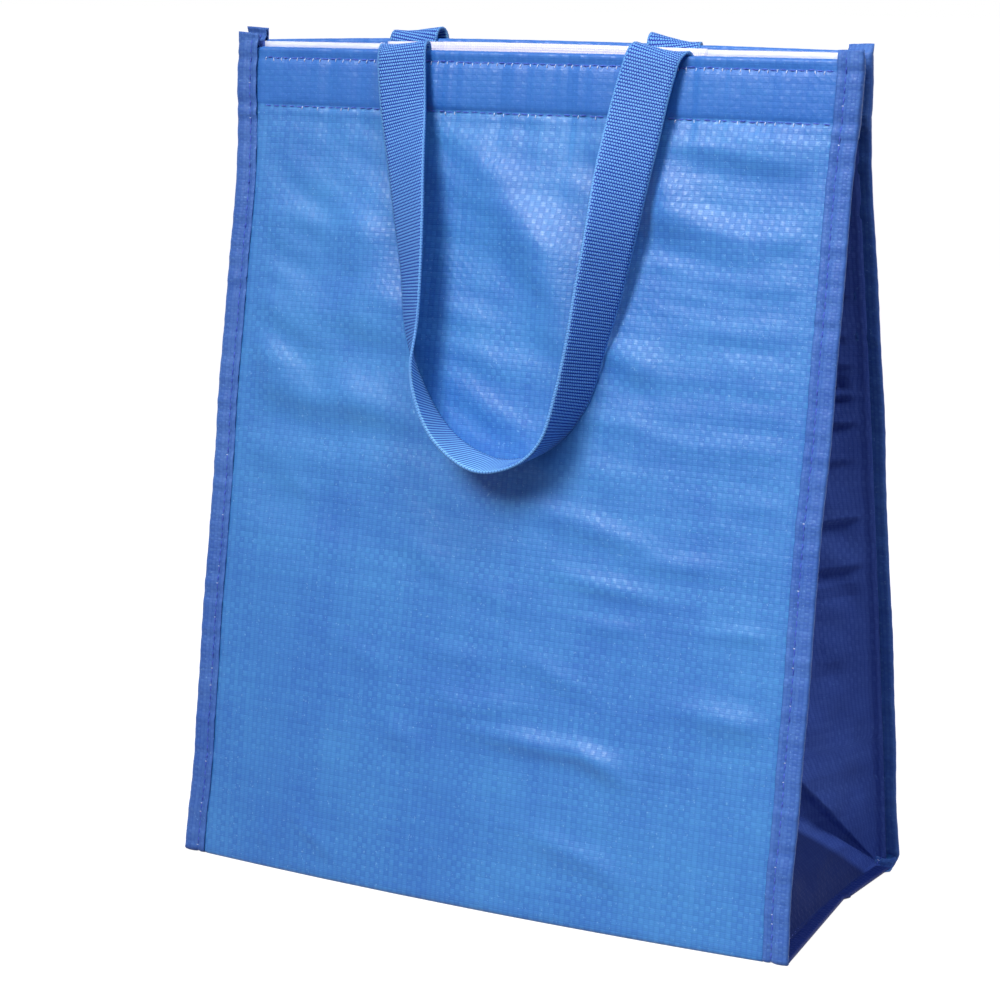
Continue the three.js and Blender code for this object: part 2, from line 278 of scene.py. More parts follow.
def relief(wall, x, z):
    """How far a wall's cloth stands out from its smooth face."""
    upper, lower = wall.top - ROW_UPPER, wall.top - ROW_LOWER
    below = np.maximum(lower - z, 0)
    in_hem = smooth(lower - 2, lower + 2, z)
    groove = -GROOVE * (bell(z - upper, GROOVE_HALF) + bell(z - lower, GROOVE_HALF))
    between = HEM_PUFF * arc(lower, upper, z) ** 0.7
    flare = mix(FLARE_LEFT, FLARE_RIGHT, smooth(0, 140, x)) * bell(below - 13, 9) * (1 - in_hem)
    puckers = PUCKER_RISE * PUCKER(x, z * 0) * np.maximum(in_hem, np.exp(-below / 9))
    gathers = LONG_PUCKER_RISE * LONG_PUCKER(x, z * 0.02)
    puckers = puckers + gathers * np.maximum(0.5 * in_hem, np.exp(-below / 16))
    worn = mix(0.2, 1, smooth(140, 330, z)) * (1 - in_hem)
    level = smooth(20, 110, x)
    crumple = worn * mix(SLANT_RISE * SLANT_CRUMPLE(x, z), LEVEL_RISE * LEVEL_CRUMPLE(x, z), level)
    shape = swellings(wall.forms, x, z) * mix(*wall.gains, smooth(180, 320, z))
    middle = np.clip(1 - (x / HALF_WIDTH) ** 2, 0, 1)
    bow = wall.bow * middle * smooth(440, 20, z)
    edge = smooth(SEAM_X - 1, SEAM_X - 22, np.abs(x))
    sewn = (groove + between + flare) * mix(0.4, 1, edge)
    return sewn + bow + (puckers + crumple + shape) * edge - pinched(wall, x, z)


# Drift of the bound edges outwards, by wall and side: amount, heights where it starts and is full
EDGE_DRIFT = {
    (-1, -1): [(2.3, 365, 445), (2, 70, 20)],
    (1, -1): [(2.5, 430, 475)],
    (1, 1): [(-0.7, -1, 0)],
}
EDGE_SWAY = ripples(21, 8, 60, 180, heading=math.pi / 2, spread=0.01)


def edge_shift(wall, side_x, z):
    """How far a bound edge has drifted outwards at height z."""
    shift = 0.5 * EDGE_SWAY(90 * wall.side + 37 * side_x, z)
    for amount, start, full in EDGE_DRIFT.get((wall.side, side_x), ()):
        shift = shift + amount * smooth(start, full, z)
    return shift


def add_object(name, data):
    made = bpy.data.objects.new(name, data)
    bpy.context.scene.collection.objects.link(made)
    return made


def make_mesh(name, vertices, faces, uv=None):
    mesh = bpy.data.meshes.new(name)
    mesh.from_pydata((np.asarray(vertices) * MM).tolist(), [], faces)
    mesh.update()
    if uv is not None:
        layer = mesh.uv_layers.new(name=CLOTH_UV)
        loops = np.zeros(len(mesh.loops), np.int32)
        mesh.loops.foreach_get("vertex_index", loops)
        layer.uv.foreach_set("vector", (np.asarray(uv)[loops] * MM).astype(np.float32).ravel())
    mesh.polygons.foreach_set("use_smooth", np.full(len(mesh.polygons), True))
    piece = add_object(name, mesh)
    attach(piece, BODY)
    return piece


def unit(vectors):
    return vectors / np.maximum(np.linalg.norm(vectors, axis=-1, keepdims=True), 1e-9)


def normals_of(grid):
    return unit(np.cross(np.gradient(grid, axis=0), np.gradient(grid, axis=1)))


def cloth_uv(across, along):
    """Flat cloth coordinates of a grid, from those of its columns and its rows."""
    return np.stack(np.broadcast_arrays(across[None, :], along[:, None]), -1)


def grid_faces(rows, columns):
    r, c = np.meshgrid(np.arange(rows - 1), np.arange(columns - 1), indexing="ij")
    a = (r * columns + c).ravel()
    return np.stack([a, a + columns, a + columns + 1, a + 1], -1)


def make_sheet(name, grid, thickness, uv, flip=False):
    """A closed sheet: a grid of points for its outer face, thickened inwards."""
    rows, columns = grid.shape[:2]
    inner = grid + normals_of(grid) * (thickness if flip else -thickness)
    count = rows * columns
    faces = grid_faces(rows, columns)
    loop = np.concatenate([
        np.arange(columns),
        np.arange(1, rows) * columns + columns - 1,
        (rows - 1) * columns + np.arange(columns - 2, -1, -1),
        np.arange(rows - 2, 0, -1) * columns,
    ])
    after = np.roll(loop, -1)
    rim = np.stack([loop, after, after + count, loop + count], -1)
    every = np.concatenate([faces, faces[:, ::-1] + count, rim])
    if flip:
        every = every[:, ::-1]
    flat = np.asarray(uv, float).reshape(-1, 2)
    points = np.concatenate([grid.reshape(-1, 3), inner.reshape(-1, 3)])
    return make_mesh(name, points, every.tolist(), np.concatenate([flat, flat]))


def lengths_along(points):
    steps = np.linalg.norm(np.diff(points, axis=0), axis=-1)
    return np.concatenate([[0], np.cumsum(steps)])


def stepped(start, stop, step):
    count = max(int(round(abs(stop - start) / step)), 1)
    return np.linspace(start, stop, count + 1)


# A row of cloth: its wall (none on the base), y and z, the height to read its relief at, its turn
Row = namedtuple("Row", "wall y z at turn")
TURN_STEP = 5
ROLL_POINTS = 7
HEM_MARGIN = 8  # how far the hem's fine rows go on below it


def corner_rows(wall, count):
    """Rows round the fold from a wall to the base."""
    corner = wall.depth(wall.fold)
    rows = []
    for turn in np.linspace(0, math.pi / 2, count)[1:]:
        y = corner - wall.fold * (1 - math.cos(turn))
        rows.append(Row(wall, wall.side * y, wall.fold * (1 - math.sin(turn)), wall.fold, turn))
    return rows


def wall_rows(wall, hem_step, wall_step):
    """Rows of the strip on one wall, from its turned-in end to the start of the base."""
    top = wall.top - ROLL
    inside = stepped(wall.top - TURN_IN, top, TURN_STEP)[:-1]
    rows = [Row(wall, wall.side * (wall.depth(z) - HEM_THICK), z, z, 0) for z in inside]
    middle = wall.depth(top) - ROLL
    for turn in np.linspace(0, math.pi, ROLL_POINTS)[:-1]:
        y = middle - ROLL * math.cos(turn)
        rows.append(Row(wall, wall.side * y, top + ROLL * math.sin(turn), top, 0))
    fine_end = wall.hem_z - HEM_MARGIN
    heights = [*stepped(top, fine_end, hem_step)[:-1], *stepped(fine_end, wall.fold, wall_step)]
    rows += [Row(wall, wall.side * wall.depth(z), z, z, 0) for z in heights]
    return rows + corner_rows(wall, 6)


def strip_rows(front_steps, back_steps, base_step):
    """Rows of the whole strip, with the steps in the hem and on the wall for each wall."""
    front = wall_rows(FRONT, *front_steps)
    back = wall_rows(BACK, *back_steps)[::-1]
    base = stepped(front[-1].y, back[0].y, base_step)[1:-1]
    return front + [Row(None, y, 0, 0, 0) for y in base] + back


LAP_Y = 24  # where a side's two bindings meet under the base
LAP_INSET_FRONT = 10
LAP_INSET_BACK = 7.5
CORNER_INSET_BACK = 3.5
BASE_DENT = ripples(31, 14, 50, 140)
BASE_RISE = 0.5


def base_inset(y):
    """How far the base's bound side edges are drawn in between its corners."""
    from_front = LAP_INSET_FRONT * (y + HALF_BASE) / (LAP_Y + HALF_BASE)
    from_back = mix(LAP_INSET_BACK, CORNER_INSET_BACK, (y - LAP_Y) / (HALF_BASE - LAP_Y))
    return np.where(y < LAP_Y, from_front, from_back)


def strip_grid(rows, columns):
    """Points of the strip's creased face, with their flat cloth coordinates."""
    grid = np.zeros((len(rows), len(columns), 3))
    for i, row in enumerate(rows):
        if row.wall is None:
            lift = BASE_RISE * np.abs(BASE_DENT(columns, row.y)) * smooth(HALF_BASE, 50, abs(row.y))
            share = 1 - base_inset(row.y) / HALF_WIDTH
            grid[i] = np.stack([columns * share, np.full(len(columns), row.y), lift], -1)
            continue
        ny, nz = row.wall.outward(row.at)
        stand = relief(row.wall, columns, np.full(len(columns), row.at))
        fade = min(1, row.z / row.wall.fold) if row.at <= row.wall.fold else 1
        lifted = row.z + nz * stand * fade + rim_lift(row.wall, columns, row.at)
        grid[i] = np.stack([columns, row.y + ny * stand, lifted], -1)
    along = lengths_along(np.array([[row.y, row.z] for row in rows]))
    return grid, cloth_uv(columns, along)


CREASES_FROM, CREASES_TO = 6, 33  # x of the upright creases below the hem, which need finer columns
UNDER_TAPE = np.array([177.2, 180, 184, 187.5])
TUCK = 0.9  # how far the strip's edges lie below its face, under the bindings


def panel_columns():
    inner = np.concatenate([
        stepped(-SEAM_X, CREASES_FROM, 3),
        stepped(CREASES_FROM, CREASES_TO, 1.8)[1:],
        stepped(CREASES_TO, SEAM_X, 3)[1:],
    ])
    return np.concatenate([-UNDER_TAPE[::-1], inner, UNDER_TAPE])


def build_panel():
    rows = strip_rows((1.5, 3), (2.5, 5), 6)
    columns = panel_columns()
    grid, uv = strip_grid(rows, columns)
    drift = np.zeros((len(rows), len(columns)))
    for i, row in enumerate(rows):
        if row.wall:
            drift[i] = [max(0, edge_shift(row.wall, np.sign(x), row.z)) for x in columns]
    under = smooth(SEAM_X - 0.5, SEAM_X + 1, np.abs(columns)[None, :] - drift)
    grid = grid - normals_of(grid) * (TUCK * under)[..., None]
    return make_sheet("outer_strip", grid, FABRIC, uv), uv[-1, 0, 1]


def build_lining(name):
    """The foam lining of the walls and the base, under the strip and inside its hems."""
    rows = []
    for row in strip_rows((1.5, 4.5), (2.5, 6), 8):
        if row.wall is None or abs(row.y) > row.wall.depth(row.at) - ROLL or row.z < HEM:
            rows.append(row)
    grid, uv = strip_grid(rows, panel_columns()[5:-5:2])
    return make_sheet(name, grid - normals_of(grid) * LINING_DEPTH, FOAM, uv)


# Bindings: distances are from the folded edge
BINDING_WIDTH = 14
BINDING_BEND = 1.4
STITCH_IN = 9.4
LAP = 6  # how far one binding lies over the other under the base
BINDING_PITCH = 5
FLANGE = 3  # thickness of the bound edge, in the hem, and of the tab above it
FLANGE_HEM = 4.6
FLANGE_TAB = 1.3
TAPE_LIFT = 0.32
TAPE_PUFF = 0.6
TAPE_LIP = 0.4
TAPE_GROOVE = 0.7
TAPE_BUMP = 0.22
TAPE_CREASE = 0.45
TAPE_BUMPS = ripples(41, 18, 7, 30, heading=math.pi / 2, spread=0.3)
TAPE_CREASES = (34, 78, 117, 158, 196, 227, 262, 303, 331, 352, 397, 424)
TAPE_OUTER = (14, 13.6, 12.6, 11.4, 10.6, 10, STITCH_IN, 8.8, 8, 6.4, 4.6, 3, BINDING_BEND)
TAPE_INNER = (BINDING_BEND, 3, 5, 7, 8.4, STITCH_IN, 10.4, 11.4, 12.6, 13.4)
BEND_POINTS = 6
OUTER_SEAM = TAPE_OUTER.index(STITCH_IN)  # columns of the two rows of stitches
INNER_SEAM = len(TAPE_OUTER) + BEND_POINTS + TAPE_INNER.index(STITCH_IN)
GATHER_Z = 6  # the crumpled foot of a binding, with a dent in it
DENT_A, DENT_Z = 6, 6.5
DENT_DEPTH = 2.2


def in_hem_share(wall, z):
    return smooth(wall.hem_z - 1, wall.hem_z + 1.5, z)


def flange_thickness(wall, z):
    """Thickness of a bound edge: thicker in the hem, and only the tape itself above it."""
    above = smooth(wall.top - 0.5, wall.top + 1.5, z)
    return mix(mix(FLANGE, FLANGE_HEM, in_hem_share(wall, z)), FLANGE_TAB, above)


def tape_face(a, z):
    """Height of a binding's outer leaf over the wall, at a distance from its folded edge."""
    puff = TAPE_PUFF * arc(1, STITCH_IN, a)
    pulled = 0.8 + 0.4 * np.sin(2 * np.pi * z / BINDING_PITCH)
    lip = TAPE_LIP * pulled * arc(STITCH_IN, BINDING_WIDTH, a)
    groove = TAPE_GROOVE * bell(a - STITCH_IN, 1.1)
    bumps = TAPE_BUMPS(a * 0.3, z)
    creases = sum(bell(z - z0 - 0.1 * a, 1.3) for z0 in TAPE_CREASES)
    sharp = np.sign(bumps) * np.abs(bumps) ** 0.6
    return TAPE_LIFT + puff + lip - groove + TAPE_BUMP * sharp + TAPE_CREASE * creases


def tape_back(a, z, upright):
    """Height of a binding's inner leaf, with its crumpled foot."""
    gather = bell(z - GATHER_Z, 6) * smooth(0, 0.3, upright)
    dent = bell(a - DENT_A, 1.8) * bell(z - DENT_Z, 2)
    foot = gather * (0.5 * TAPE_BUMPS(a * 2.5 + 30, 3 * z) + DENT_DEPTH * dent)
    return 0.8 * bell(a - STITCH_IN, 1.8) + 0.12 * TAPE_BUMPS(a * 0.4 + 50, z) + foot


def binding_rows(wall, step, tab):
    """Rows of a binding from its end above the hem to its lap under the base."""
    heights = stepped(wall.top + tab, wall.fold, step)
    rows = [Row(wall, wall.side * wall.depth(z), z, z, 0) for z in heights]
    rows += corner_rows(wall, 13)
    end = LAP_Y * wall.side - (LAP if wall.side > 0 else 0)
    for y in stepped(wall.depth(wall.fold) - wall.fold, end, 4)[1:]:
        rows.append(Row(wall, wall.side * y, 0, 0, math.pi / 2))
    return rows


def binding_section():
    """The folded tape: distance from its edge, share of the flange, and 1 on the outer leaf."""
    turns = np.linspace(0, math.pi, BEND_POINTS + 2)[1:-1]
    section = [(a, 0, 1) for a in TAPE_OUTER]
    for t in turns:
        section.append((BINDING_BEND * (1 - math.sin(t)), (1 - math.cos(t)) / 2, 1 - t / math.pi))
    section += [(a, 1, 0) for a in TAPE_INNER]
    return np.array(section)


def build_binding(name, wall, side_x, tab, skew):
    rows = binding_rows(wall, 1.7, tab)
    a, through, outer = binding_section().T
    grid = np.zeros((len(rows), len(a), 3))
    for i, row in enumerate(rows):
        ny, nz = wall.outward(row.at)
        lean = math.atan2(-nz, wall.side * ny)
        turned = row.turn / (math.pi / 2)
        upright = 1 - turned
        angle = mix(-lean, -math.pi / 2, turned)
        ny, nz = wall.side * math.cos(angle), math.sin(angle)
        seam = float(relief(wall, np.array(side_x * SEAM_X), np.array(min(row.at, wall.top))))
        face = tape_face(a, row.z) + 0.5 * in_hem_share(wall, row.z) * upright + seam
        back = tape_back(a, row.z, upright) + seam * upright
        off = (face * upright - 0.6 * turned) * outer + back * (1 - outer)
        off = off - flange_thickness(wall, row.z) * through
        loose = smooth(wall.top - 6, wall.top + 2, row.z)
        off = off + 0.3 * loose * TAPE_BUMPS(a * 1.6 + 80, 2 * row.z)
        sunk = nz * off - skew * a / BINDING_WIDTH * smooth(wall.top, wall.top + tab, row.z)
        inset = base_inset(row.y) * turned
        x = side_x * (HALF_WIDTH - inset - a + edge_shift(wall, side_x, row.z))
        grid[i] = np.stack([x, row.y + ny * off, np.maximum(row.z + sunk, 0.02)], -1)
    along = lengths_along(np.array([[row.y, row.z] for row in rows]))
    uv = cloth_uv(lengths_along(grid[len(rows) // 2]), along)
    return make_sheet(name, grid, TAPE, uv, flip=side_x * wall.side > 0), grid, along


# Folds across the gussets: height, first and last distance from the seam, drop, depth, way back
WRINKLES = [
    (398, 2, 34, 2.2, 1.8, 6),
    (362, 2, 40, 2.2, 2, 6),
    (336, 2, 44, 2, 2.4, 6),
    (313, 8, 44, 3, 2.2, 6),
    (297, 6, 44, 2.4, 2, 4),
    (291, 8, 46, 7, 3, 4),
    (279.5, 1, 50, 2.2, 3.4, 8),
    (264.5, 1, 50, 2, 3.2, 8),
    (244, 6, 34, 3, 1.2, 6),
    (209.5, 2, 60, 2.2, 4, 9),
    (182, 2, 60, 3, 3.6, 8),
    (171, 2, 60, 7, 2.2, 16),
    (128, 20, 60, 9, 1.6, 20),
]
WRINKLE_TILT = -0.12
GUSSET_CRUMPLE = ripples(51, 22, 18, 60)
WING_RISE = 0.6  # of the crumple on the wings and on the foot
FOOT_RISE = 0.8
GUSSET_FOOT = 2.8
FOLD_PLANE = 4.5  # y of the inner fold high up
FOLD_GAP_LOW, FOLD_GAP_HIGH = 3, 0.4
PLEAT_LOW = 0.72  # slopes of the pleat's two edges, up from the corner
PLEAT_HIGH = 1.07
PLEAT_DEPTH = 0.2
LIP = 0.4
ROLL_BELOW = 6  # how far the foot's rolled edge lies below its slanting crease
ROLL_RISE = 1.3
WING_COLUMNS = 40
FOOT_COLUMNS = 28
EDGE_IN, EDGE_OUT = 2.5, 6  # the gusset's edges inside the bindings, past the seam


def gusset_section(side_x, z):
    """A gusset at height z: its seams, its cloth's reach, and its fold's middle and half gap."""
    front = -(FRONT.depth(z) - flange_thickness(FRONT, min(z, FRONT.top - 2)))
    back = BACK.depth(z) - flange_thickness(BACK, min(z, BACK.top - 2))
    back = back - pinched(BACK, side_x * SEAM_X, z)
    half = (back - front) / 2
    reach = math.sqrt(max(CLOTH_REACH ** 2 - half ** 2, 0))
    folded = FOLD_PLANE - 0.8 * pinched(BACK, side_x * 140, z)
    plane = mix((front + back) / 2, folded, smooth(200, 440, z))
    gap = mix(FOLD_GAP_LOW, FOLD_GAP_HIGH, smooth(330, 450, z))
    return front, back, reach, plane, gap


def wing_creases(d, z, side):
    """How far a wing is pushed inwards at a distance from its seam: pleat, creases, crumple."""
    h = z - GUSSET_FOOT
    share = (h / np.maximum(d, 0.001) - PLEAT_LOW) / (PLEAT_HIGH - PLEAT_LOW)
    pleat = PLEAT_DEPTH * d * smooth(0, 0.18, share) * smooth(1, 0.88, share)
    crease = WING_RISE * GUSSET_CRUMPLE(d + 200 * side, z)
    for z0, first, last, drop, depth, back in WRINKLES:
        rise = z - z0 - WRINKLE_TILT * (d - (first + last) / 2)
        fold = depth * np.clip(-rise / drop, 0, 1) * np.exp(np.minimum(rise + drop, 0) / back)
        within = smooth(first - 5, first + 3, d) * smooth(last + 8, last - 4, d)
        crease = crease + (fold - LIP * bell(rise - 1.2, 1.2)) * within
    firm = smooth(0, 12, d) if side > 0 else smooth(8, 26, d)
    held = firm * smooth(0, 30, h) * smooth(BACK.top, BACK.top - 70, z)
    return pleat + crease * held


def gusset_wing(z, seam_y, side, reach, fold_y):
    """One wing's points (x, y) at height z, from its seam to its fold."""
    t = np.linspace(0, 1, WING_COLUMNS)
    quick = mix(1, 5, smooth(330, 450, z))
    points = np.stack([SEAM_X + FABRIC - reach * t, mix(seam_y, fold_y, 1 - (1 - t) ** quick)], -1)
    inward = np.array([-abs(fold_y - seam_y), side * reach])
    inward = inward / max(np.linalg.norm(inward), 0.001)
    return points + inward * wing_creases(lengths_along(points), z, side)[:, None]


def gusset_foot(z, start, end, gap, plane, front, back):
    """Points between a section's two folds: the foot low down, a narrow round fold higher up."""
    s = np.linspace(0, 1, FOOT_COLUMNS + 2)[1:-1]
    foot = start + (end - start) * s[:, None]
    foot[:, 0] -= gap * smooth(PEAK - 20, PEAK + 15, z) * np.sin(np.pi * s)
    y = foot[:, 1] - plane
    share = np.clip(1 - np.abs(y) / np.where(y < 0, plane - front, back - plane), 0, 1)
    below = mix(GUSSET_FOOT, PEAK, share) - z
    ridge = bell(below - ROLL_BELOW, 1.6) - 0.8 * bell(below - ROLL_BELOW / 2, 1.8)
    foot[:, 0] += ROLL_RISE * ridge * smooth(0, 0.4, share) * smooth(PEAK, PEAK - 4, z)
    crumple = FOOT_RISE * GUSSET_CRUMPLE(foot[:, 1] + 500, z)
    foot[:, 0] += crumple * smooth(0, 0.3, share) * smooth(4, 20, z)
    return foot


def build_gusset(name, side_x):
    heights = np.concatenate([
        stepped(GUSSET_FOOT, PEAK, 1.3)[:-1],
        stepped(PEAK, 150, 2.4)[:-1],
        stepped(150, 340, 1.2)[:-1],
        stepped(340, BACK.top - 0.6, 2.6),
    ])
    reach_at_peak = gusset_section(side_x, PEAK)[2]
    inner, outer = SEAM_X + FABRIC + EDGE_IN, SEAM_X + FABRIC + EDGE_OUT
    grid = []
    flat = []
    for z in heights:
        front, back, reach, plane, gap = gusset_section(side_x, z)
        rise = min((z - GUSSET_FOOT) / (PEAK - GUSSET_FOOT), 1)
        reach = rise * reach_at_peak if z < PEAK else reach
        front_wing = gusset_wing(z, front, -1, reach, mix(front + 3, plane - gap, rise))
        back_wing = gusset_wing(z, back, 1, reach, mix(back - 3, plane + gap, rise))
        foot = gusset_foot(z, front_wing[-1], back_wing[-1], gap, plane, front, back)
        front_edge = [[outer, front], [inner, front]]
        back_edge = [[inner, back], [outer, back]]
        row = np.concatenate([front_edge, front_wing, foot, back_wing[::-1], back_edge])
        grid.append(np.column_stack([side_x * row[:, 0], row[:, 1], np.full(len(row), z)]))
        length = lengths_along(row)
        flat.append(np.column_stack([length - length[-1] / 2, np.full(len(row), z)]))
    lower = grid[0].copy()
    lower[:, 0] = side_x * np.maximum(np.abs(lower[:, 0]), SEAM_X + 4.5)
    lower[:, 2] = GUSSET_FOOT - 0.5
    grid = np.array([lower] + grid)
    flat = np.array([flat[0] - [0, 4]] + flat)
    return make_sheet(name, grid, FABRIC, flat, flip=side_x > 0), grid, flat


def build_side_lining(name, gusset_grid, flat, side_x):
    """The foam lining behind a gusset, close to it at the seams and at the top."""
    part = np.s_[1:, 2:-2:3]
    inner = gusset_grid[part]
    share = np.linspace(0, 1, inner.shape[1])[None, :, None]
    free = smooth(0, 0.15, np.minimum(share, 1 - share))
    free = free * smooth(BACK.top - 40, BACK.top - 120, inner[..., 2:])
    grid = inner + side_x * normals_of(inner) * (FABRIC + mix(0.3, 4, free))
    return make_sheet(name, grid, FOAM, flat[part], flip=side_x > 0)


def curve_point(points, t):
    """A smooth curve through points, at t from 0 to the last point's index."""
    i = min(int(t), len(points) - 2)
    f = t - i
    p0 = points[max(i - 1, 0)]
    p1 = points[i]
    p2 = points[i + 1]
    p3 = points[min(i + 2, len(points) - 1)]
    return 0.5 * (2 * p1 + (p2 - p0) * f + (2 * p0 - 5 * p1 + 4 * p2 - p3) * f ** 2
                  + (3 * p1 - p0 - 3 * p2 + p3) * f ** 3)


# Middle line of a hanging loop: x, distance below the rim, turn in degrees, clearance from the wall
LOOP = np.array([
    (-79.7, 3, -4, 6.4),
    (-75.2, 31, 2, 7.9),
    (-68, 61, 16, 8.6),
    (-61.6, 90, 27, 8.6),
    (-57.2, 117.5, 38, 6.4),
    (-54.8, 148.4, 47, 3.4),
    (-49.7, 173, 66, 1),
    (-38, 194.3, 77, 0.9),
    (-22.2, 209.7, 85, 0.7),
    (0.8, 218.7, 92, 0.6),
    (24, 213.7, 92, 0.7),
    (39, 200.8, 88, 0.7),
    (48.5, 179.6, 75, 1.4),
    (55.1, 151, 69, 3.5),
    (60.8, 120, 56, 6.5),
    (65.1, 91.5, 49, 8.5),
    (67.4, 60.3, 34, 8.3),
    (71.2, 24.6, 13, 7.6),
    (75.2, 3, 7, 6),
])
LOOP_STEP = 0.125
OVER_RIM = 3.4  # height of a strap's bend above the rim
RIM_SLANT = 1.1
BACK_SHIFT = -0.4
STRAP_TILT = 0.15
STRAP_CROWN = 0.12
STRAP_COLUMNS = 11
SEWN = 33  # a strap's end inside the hem
SEWN_GAP = 0.15
EASE = 16  # rows on both sides over which the strap's turn and its bends are evened out
BEND = 10


def stand_off(clear, turn):
    """Distance of a turned strap's middle from the wall, with its near edge clear of it."""
    return WEBBING / 2 + clear + (WEBBING_WIDTH / 2 + 1.5) * math.sin(turn)


def over_rim(wall, end, lower, shift):
    """Up the inside of the hem and over the rim, straight on from one end of the loop."""
    inside = wall.depth(wall.top) - HEM_THICK - WEBBING / 2 - SEWN_GAP
    x = end[0] + shift
    lean = (end[0] - lower[0]) / (lower[1] - end[1])
    rim = wall.top + rim_lift(wall, x, wall.top)
    outside = wall.depth(wall.top) + stand_off(end[3], math.radians(end[2]))
    middle, radius = (inside + outside) / 2, (outside - inside) / 2
    centre = rim + OVER_RIM - radius - (RIM_SLANT * np.sign(x) if wall.side > 0 else 0)
    beyond = x + lean * math.pi * radius
    heights = np.linspace(rim - SEWN, centre, 9)
    points = [(beyond + lean * (centre - z), inside, z, 0) for z in heights]
    for angle in np.linspace(0, math.pi, 11)[1:]:
        depth = middle - radius * math.cos(angle)
        z = centre + radius * math.sin(angle)
        turn = math.radians(end[2]) * angle / math.pi
        points.append((x + lean * radius * (math.pi - angle), depth, z, turn))
    return points


def handle_line(wall):
    """A handle's middle line from end to end: x, depth from the middle plane, z and turn."""
    shift = BACK_SHIFT if wall.side > 0 else 0
    loop = []
    for t in np.arange(0, len(LOOP) - 1 + 1e-6, LOOP_STEP)[1:-1]:
        x, below, degrees, clear = curve_point(LOOP, t)
        z = wall.top - below
        turn = math.radians(degrees)
        loop.append((x + shift, wall.depth(z) + stand_off(clear, turn), z, turn))
    start = over_rim(wall, LOOP[0], LOOP[1], shift)
    end = over_rim(wall, LOOP[-1], LOOP[-2], shift)[::-1]
    return np.array(start + loop + end)


def resample(line, step):
    at = lengths_along(line[:, :3])
    new = stepped(0, at[-1], step)
    return np.stack([np.interp(new, at, line[:, k]) for k in range(line.shape[1])], -1), new


def eased(table, reach):
    """A table's rows averaged over their neighbours on both sides."""
    before, after = np.repeat(table[:1], reach, 0), np.repeat(table[-1:], reach, 0)
    total = np.cumsum(np.concatenate([0 * table[:1], before, table, after]), axis=0)
    width = 2 * reach + 1
    return (total[width:] - total[:-width]) / width


def build_handle(name, wall):
    line, at = resample(handle_line(wall), RIB_PITCH / 4)
    points = eased(np.stack([line[:, 0], -line[:, 1], line[:, 2]], -1), BEND)
    along = unit(np.gradient(points, axis=0))
    flat = np.cross(np.array([0, -1, 0]), along)
    inside = np.abs(line[:, 3]) < 1e-6
    over = inside | (points[:, 2] > wall.top - 6)
    tilt = np.where(inside, -STRAP_TILT, STRAP_TILT)
    across_rim = np.column_stack([-np.sign(points[:, 0]), 0 * at, tilt])
    flat[over] = across_rim[over]
    flat = eased(flat, EASE)
    flat = unit(flat - along * (flat * along).sum(1, keepdims=True))
    turn = line[:, 3][:, None]
    across = flat * np.cos(turn) + np.cross(along, flat) * np.sin(turn)
    face = np.cross(along, across)
    share = np.linspace(-1, 1, STRAP_COLUMNS)
    wide = share * WEBBING_WIDTH / 2
    ribs = RIB * (np.abs(np.sin(np.pi * at / RIB_PITCH)) - 1)
    thick = WEBBING / 2 + STRAP_CROWN * (1 - share ** 2)[None, :] + ribs[:, None]
    grid = points[:, None] + across[:, None] * wide[None, :, None]
    grid = grid + face[:, None] * thick[..., None]
    if wall.side > 0:
        grid = grid * [1, -1, 1]
    return make_sheet(name, grid, WEBBING, cloth_uv(wide, at), flip=wall.side > 0)


STRIP_HALF = 98.2
STRIP_TOP, STRIP_FOOT = 1.6, 31.4  # the closing strip's edges below the rim
STRIP_THICK = 1
STRIP_GAP = 0.3


def build_strip(name, wall):
    """The fastening strip on the inner face of a hem, raised over the handle's ends."""
    z = stepped(wall.top - STRIP_TOP, wall.top - STRIP_FOOT, 2.5)
    x = stepped(-STRIP_HALF, STRIP_HALF, 2)
    raised = sum(smooth(19, 15.5, np.abs(x - leg)) for leg in (LOOP[0][0], LOOP[-1][0]))
    under = HEM_THICK + STRIP_GAP + (WEBBING + SEWN_GAP) * raised + STRIP_THICK
    depth = wall.depth(z)[:, None] - under[None, :] + relief(wall, x[None, :], z[:, None])
    height = z[:, None] + rim_lift(wall, x[None, :], wall.top)
    grid = np.stack(np.broadcast_arrays(x[None, :], wall.side * depth, height), -1)
    return make_sheet(name, grid, STRIP_THICK, cloth_uv(x, z), flip=wall.side < 0)


# A stitch: places of its rings along it, their girth, and their height above the cloth
STITCH_RINGS = np.array([-1, -0.75, 0, 0.75, 1])
STITCH_GIRTH = np.array([0.15, 0.85, 1.05, 0.85, 0.15])
STITCH_HEIGHT = np.array([-1.5, -0.2, 0.75, -0.2, -1.5])
STITCH_SIDES = 6
STITCH_OFF = 0.1
STITCH_SPACE = 0.8  # between one stitch and the next
HEM_PITCH = 5.2
HEM_THREAD, HEM_TICK = 0.36, 0.27
BINDING_THREAD, BINDING_TICK = 0.34, 0.24
TICK = 1.9
# Share of the needle holes that show a tick
TICKS_UPPER, TICKS_LOWER, TICKS_BINDING = 1, 0.35, 0.12


